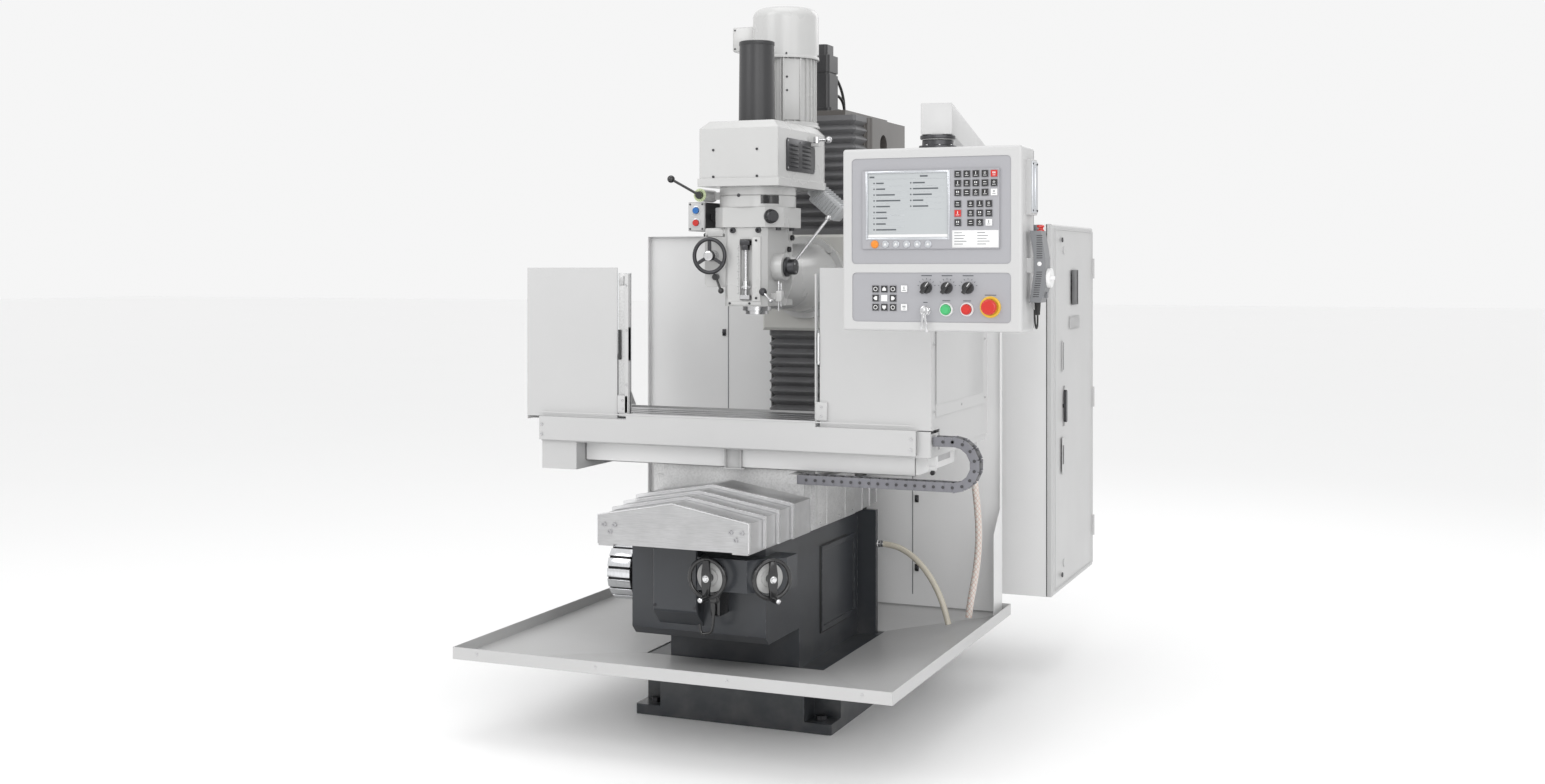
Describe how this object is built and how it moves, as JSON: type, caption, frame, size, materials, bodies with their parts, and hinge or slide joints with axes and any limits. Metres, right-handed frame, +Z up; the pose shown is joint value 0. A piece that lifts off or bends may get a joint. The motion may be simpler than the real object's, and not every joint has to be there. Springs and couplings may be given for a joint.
{
  "type": "bed mill",
  "caption": "Bed-type milling machine with a quill head, guarded T-slot table on a covered cross slide, chip tray, cabinet and a control pendant on a swing arm.",
  "frame": {"origin": "on the floor under the spindle axis", "axes": "+X to the operator's right along the table, +Y to the rear towards the column, +Z up"},
  "size_m": [1.937, 2.3465, 2.411],
  "materials": {
    "casting_slate": "semi-gloss machine enamel on cast iron",
    "casting_brown": "semi-gloss machine enamel on cast iron",
    "head_white": "gloss enamel on cast iron",
    "carriage_cream": "gloss enamel on cast iron",
    "sheet_grey": "powder coat on folded sheet",
    "sheet_white": "powder coat on folded sheet",
    "cover_steel": "brushed folded sheet",
    "machined_iron": "ground",
    "bright_steel": "polished",
    "dark_steel": "blackened",
    "motor_black": "satin",
    "black_plastic": "satin moulding",
    "bellows_black": "pleated coated cloth",
    "cable_black": "matt jacket",
    "clear_sheet": "clear polycarbonate",
    "clear_hose": "clear braided hose",
    "beige_hose": "plain hose",
    "panel_grey": "printed film",
    "button_blue": "gloss",
    "button_red": "gloss",
    "button_green": "gloss",
    "handset_grey": "moulded",
    "dial_white": "gloss"
  },
  "bodies": {
    "base": {"bed_base": "casting_slate", "levelling_bolts": "dark_steel", "chip_tray": "sheet_grey", "column": "casting_brown", "z_motor": "motor_black", "z_motor_power_cable": "cable_black", "z_motor_encoder_cable": "cable_black", "rear_splash_left": "sheet_grey", "rear_splash_right": "sheet_grey", "cabinet_shell": "sheet_white", "arm_post": "sheet_white", "front_motor_cover": "casting_slate", "way_cover_front": "cover_steel", "return_hose": "beige_hose", "y_chain": "black_plastic", "upper_bellows": "bellows_black", "lower_bellows": "bellows_black"},
    "cover_second": {"way_cover_second": "cover_steel"},
    "cover_third": {"way_cover_third": "cover_steel"},
    "saddle": {"saddle": "casting_slate", "way_cover_rear": "cover_steel", "x_chain": "black_plastic"},
    "table": {"table": "machined_iron", "coolant_pan": "sheet_white", "front_fascia": "sheet_white", "left_wing": "sheet_white", "right_wing": "sheet_white", "drain_hose": "clear_hose"},
    "left_door": {"left_door": "clear_sheet"},
    "right_door": {"right_door": "clear_sheet"},
    "y_handwheel": {"y_handwheel": "bright_steel"},
    "x_handwheel": {"x_handwheel": "bright_steel"},
    "head": {"z_carriage": "carriage_cream", "head_body": "head_white", "gear_housing": "head_white", "belt_housing": "head_white", "spindle_motor": "head_white", "drawbar_cover": "motor_black", "button_box": "motor_black", "depth_stop": "bright_steel"},
    "quill": {"quill": "bright_steel"},
    "spindle": {"spindle": "bright_steel"},
    "quill_lever": {"quill_lever": "bright_steel"},
    "feed_handwheel": {"feed_handwheel": "dark_steel"},
    "feed_lever": {"feed_lever": "black_plastic"},
    "range_lever": {"range_lever": "black_plastic"},
    "brake_lever": {"brake_lever": "bright_steel"},
    "blue_button": {"blue_button": "button_blue"},
    "red_button": {"red_button": "button_red"},
    "arm": {"pendant_arm": "sheet_white"},
    "pendant": {"pendant_case": "sheet_white", "control_panel": "panel_grey", "handset": "handset_grey", "handset_cord": "cable_black"},
    "estop_button": {"estop_button": "button_red"},
    "start_button": {"start_button": "button_green"},
    "stop_button": {"stop_button": "button_red"},
    "handset_dial": {"handset_dial": "dial_white"},
    "cabinet_door": {"cabinet_door": "sheet_white"},
    "door_handle": {"door_handle": "dark_steel"}
  },
  "joints": [
    {"name": "y_slide", "type": "slide", "parent": "base", "child": "saddle", "axis": [0, 1, 0], "range_m": [-0.17, 0.13], "deforming": ["y_chain"]},
    {"name": "cover_second_slide", "type": "slide", "parent": "base", "child": "cover_second", "axis": [0, 1, 0], "range_m": [-0.058, 0.0445]},
    {"name": "cover_third_slide", "type": "slide", "parent": "base", "child": "cover_third", "axis": [0, 1, 0], "range_m": [-0.115, 0.088]},
    {"name": "x_slide", "type": "slide", "parent": "saddle", "child": "table", "axis": [1, 0, 0], "range_m": [-0.235, 0.235], "deforming": ["x_chain"]},
    {"name": "left_door_slide", "type": "slide", "parent": "table", "child": "left_door", "axis": [1, 0, 0], "range_m": [0, 0.33]},
    {"name": "right_door_slide", "type": "slide", "parent": "table", "child": "right_door", "axis": [1, 0, 0], "range_m": [-0.33, 0]},
    {"name": "y_handwheel_turn", "type": "hinge", "parent": "base", "child": "y_handwheel", "pos_m": [0.092, -0.56, 0.552], "axis": [0, -1, 0], "continuous": true},
    {"name": "x_handwheel_turn", "type": "hinge", "parent": "base", "child": "x_handwheel", "pos_m": [0.253, -0.513, 0.552], "axis": [0.7071, -0.7071, 0], "continuous": true},
    {"name": "z_slide", "type": "slide", "parent": "base", "child": "head", "axis": [0, 0, 1], "range_m": [-0.2, 0.25], "deforming": ["upper_bellows", "lower_bellows"]},
    {"name": "quill_slide", "type": "slide", "parent": "head", "child": "quill", "axis": [0, 0, -1], "range_m": [0, 0.12]},
    {"name": "spindle_turn", "type": "hinge", "parent": "quill", "child": "spindle", "pos_m": [0, 0, 1.34], "axis": [0, 0, 1], "continuous": true},
    {"name": "quill_lever_turn", "type": "hinge", "parent": "head", "child": "quill_lever", "pos_m": [0.12, -0.02, 1.5], "axis": [1, 0, 0], "range_deg": [0, 150]},
    {"name": "feed_handwheel_turn", "type": "hinge", "parent": "head", "child": "feed_handwheel", "pos_m": [-0.119, -0.1, 1.537], "axis": [0, -1, 0], "continuous": true},
    {"name": "feed_lever_turn", "type": "hinge", "parent": "head", "child": "feed_lever", "pos_m": [-0.108, -0.1, 1.466], "axis": [0, -1, 0], "range_deg": [-25, 25]},
    {"name": "range_lever_turn", "type": "hinge", "parent": "head", "child": "range_lever", "pos_m": [-0.162, -0.115, 1.742], "axis": [0, -1, 0], "range_deg": [-25, 25]},
    {"name": "brake_lever_turn", "type": "hinge", "parent": "head", "child": "brake_lever", "pos_m": [0.16, 0.15, 1.936], "axis": [0, 0, 1], "range_deg": [-25, 25]},
    {"name": "blue_button_press", "type": "slide", "parent": "head", "child": "blue_button", "axis": [0, 1, 0], "range_m": [0, 0.004], "stiffness_N_per_m": 600},
    {"name": "red_button_press", "type": "slide", "parent": "head", "child": "red_button", "axis": [0, 1, 0], "range_m": [0, 0.004], "stiffness_N_per_m": 600},
    {"name": "arm_swing", "type": "hinge", "parent": "base", "child": "arm", "pos_m": [0.504, 0.964, 1.9], "axis": [0, 0, 1], "range_deg": [-15, 60]},
    {"name": "pendant_swivel", "type": "hinge", "parent": "arm", "child": "pendant", "pos_m": [0.876, -0.778, 1.85], "axis": [0, 0, 1], "range_deg": [-30, 30]},
    {"name": "estop_press", "type": "slide", "parent": "pendant", "child": "estop_button", "axis": [0, 1, 0], "range_m": [0, 0.006], "stiffness_N_per_m": 1200},
    {"name": "start_press", "type": "slide", "parent": "pendant", "child": "start_button", "axis": [0, 1, 0], "range_m": [0, 0.004], "stiffness_N_per_m": 600},
    {"name": "stop_press", "type": "slide", "parent": "pendant", "child": "stop_button", "axis": [0, 1, 0], "range_m": [0, 0.004], "stiffness_N_per_m": 600},
    {"name": "handset_dial_turn", "type": "hinge", "parent": "pendant", "child": "handset_dial", "pos_m": [1.19, -0.777, 1.47], "axis": [1, 0, 0], "continuous": true},
    {"name": "cabinet_door_swing", "type": "hinge", "parent": "base", "child": "cabinet_door", "pos_m": [0.841, 1.47, 0.978], "axis": [0, 0, 1], "range_deg": [0, 110]},
    {"name": "door_handle_turn", "type": "hinge", "parent": "cabinet_door", "child": "door_handle", "pos_m": [0.841, 0.947, 0.981], "axis": [1, 0, 0], "range_deg": [0, 90]}
  ],
  "couplings": [
    {"joint": "cover_second_slide", "follows": "y_slide", "ratio": 0.33333},
    {"joint": "cover_third_slide", "follows": "y_slide", "ratio": 0.66667},
    {"joint": "quill_lever_turn", "follows": "quill_slide", "rad_per_m": 21.8}
  ]
}
